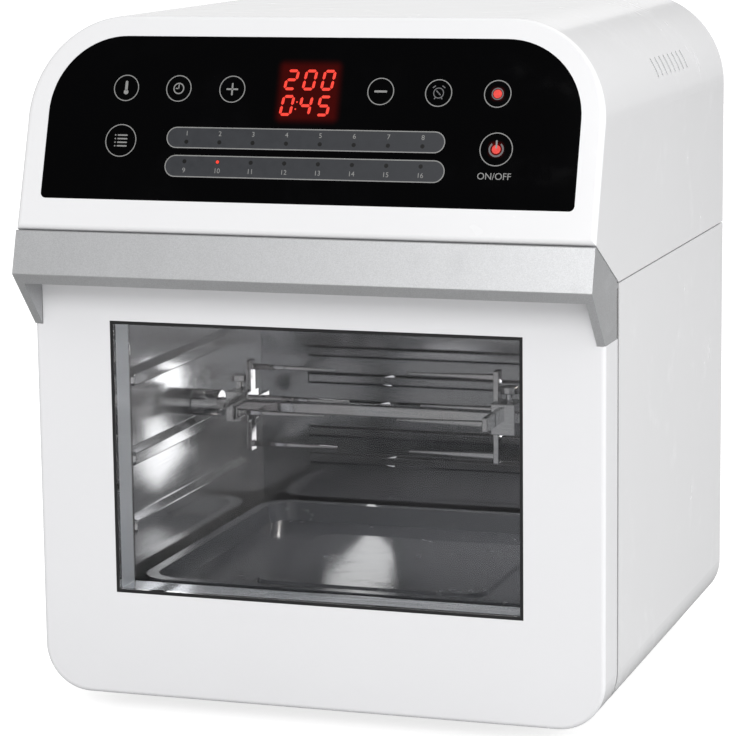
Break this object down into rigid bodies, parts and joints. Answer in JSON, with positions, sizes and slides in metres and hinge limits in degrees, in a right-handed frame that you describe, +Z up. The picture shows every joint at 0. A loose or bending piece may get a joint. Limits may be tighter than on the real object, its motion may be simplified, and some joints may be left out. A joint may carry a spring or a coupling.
{
  "type": "countertop air fryer oven",
  "caption": "Countertop multicooker oven with a slanted touch panel, drop-down glass door with a full-width grip, lit steel cavity, rotisserie spit and hot-air fan.",
  "frame": {"origin": "on the table under the centre of the oven's bounding box", "axes": "+Z up, +X to the right seen from the front, -Y towards the user"},
  "size_m": [0.32, 0.3269, 0.383],
  "materials": {
    "white_casing": "gloss",
    "white_door": "gloss",
    "grip_silver": "satin metallic paint",
    "black_fascia": "gloss",
    "clear_glass": "gloss",
    "lamp_glass": "gloss",
    "cavity_steel": "bright",
    "reveal_steel": "polished",
    "door_steel": "satin",
    "tray_enamel": "satin",
    "spit_steel": "bright",
    "plain_steel": "satin",
    "fan_aluminium": "satin",
    "motor_iron": "satin",
    "element_steel": "dull",
    "rear_white": "satin",
    "black_plastic": "matte",
    "black_rubber": "matte",
    "grey_silicone": "matte",
    "board_green": "satin"
  },
  "bodies": {
    "casing": {"upper_housing": "white_casing", "lower_housing": "white_casing", "fascia_glass": "black_fascia", "lamp_lens": "lamp_glass", "lamp_bulb": "lamp_glass", "cavity_floor": "cavity_steel", "cavity_left_wall": "cavity_steel", "cavity_right_wall": "cavity_steel", "cavity_rear_wall": "cavity_steel", "cavity_ceiling": "cavity_steel", "fan_guard": "cavity_steel", "front_frame": "cavity_steel", "drip_tray": "tray_enamel", "spit_cradle": "spit_steel", "temperature_probe": "spit_steel", "air_duct": "plain_steel", "motor_bracket": "plain_steel", "motor_bearings": "plain_steel", "hinge_brackets": "plain_steel", "case_screws": "plain_steel", "motor_stator": "motor_iron", "heating_element": "element_steel", "rear_cover": "rear_white", "rear_vent_grille": "black_plastic", "door_switch": "black_plastic", "catch_strikes": "black_plastic", "rotisserie_motor": "black_plastic", "thermal_cutout": "black_plastic", "lamp_holder": "black_plastic", "rubber_feet": "black_rubber", "cord_gland": "black_rubber", "door_seal": "grey_silicone", "display_board": "board_green", "power_board": "board_green"},
    "door": {"door_panel": "white_door", "door_handle": "grip_silver", "handle_screws": "plain_steel", "window_trim": "black_rubber", "outer_glass": "clear_glass", "window_reveal": "reveal_steel", "inner_glass": "clear_glass", "door_inner_frame": "door_steel", "door_catches": "plain_steel", "hinge_blocks": "black_plastic", "hinge_pins": "plain_steel"},
    "fan_rotor": {"motor_shaft": "plain_steel", "circulation_fan": "fan_aluminium", "fan_nut": "plain_steel", "cooling_fan": "fan_aluminium", "motor_rotor": "motor_iron"},
    "rotisserie": {"drive_socket": "spit_steel", "spit_rod": "spit_steel"},
    "left_fork": {"left_fork": "spit_steel"},
    "right_fork": {"right_fork": "spit_steel"},
    "left_thumb_screw": {"left_thumb_screw": "spit_steel"},
    "right_thumb_screw": {"right_thumb_screw": "spit_steel"},
    "switch_plunger": {"switch_plunger": "black_plastic"}
  },
  "joints": [
    {"name": "door_hinge", "type": "hinge", "parent": "casing", "child": "door", "pos_m": [0, -0.1215, 0.03], "axis": [1, 0, 0], "range_deg": [0, 85]},
    {"name": "fan_spin", "type": "hinge", "parent": "casing", "child": "fan_rotor", "pos_m": [0, 0.0115, 0.29], "axis": [0, 0, 1], "continuous": true},
    {"name": "spit_spin", "type": "hinge", "parent": "casing", "child": "rotisserie", "pos_m": [0, 0.0125, 0.148], "axis": [1, 0, 0], "continuous": true},
    {"name": "left_fork_slide", "type": "slide", "parent": "rotisserie", "child": "left_fork", "axis": [1, 0, 0], "range_m": [0, 0.04]},
    {"name": "right_fork_slide", "type": "slide", "parent": "rotisserie", "child": "right_fork", "axis": [1, 0, 0], "range_m": [0, 0.04]},
    {"name": "left_thumb_screw_turn", "type": "hinge", "parent": "left_fork", "child": "left_thumb_screw", "pos_m": [-0.0975, 0.0125, 0.16], "axis": [0, 0, 1], "continuous": true},
    {"name": "right_thumb_screw_turn", "type": "hinge", "parent": "right_fork", "child": "right_thumb_screw", "pos_m": [0.0675, 0.0125, 0.16], "axis": [0, 0, 1], "continuous": true},
    {"name": "plunger_slide", "type": "slide", "parent": "casing", "child": "switch_plunger", "axis": [0, -1, 0], "range_m": [0, 0.003]}
  ],
  "couplings": [
    {"joint": "plunger_slide", "follows": "door_hinge", "m_per_rad": 0.002022}
  ]
}
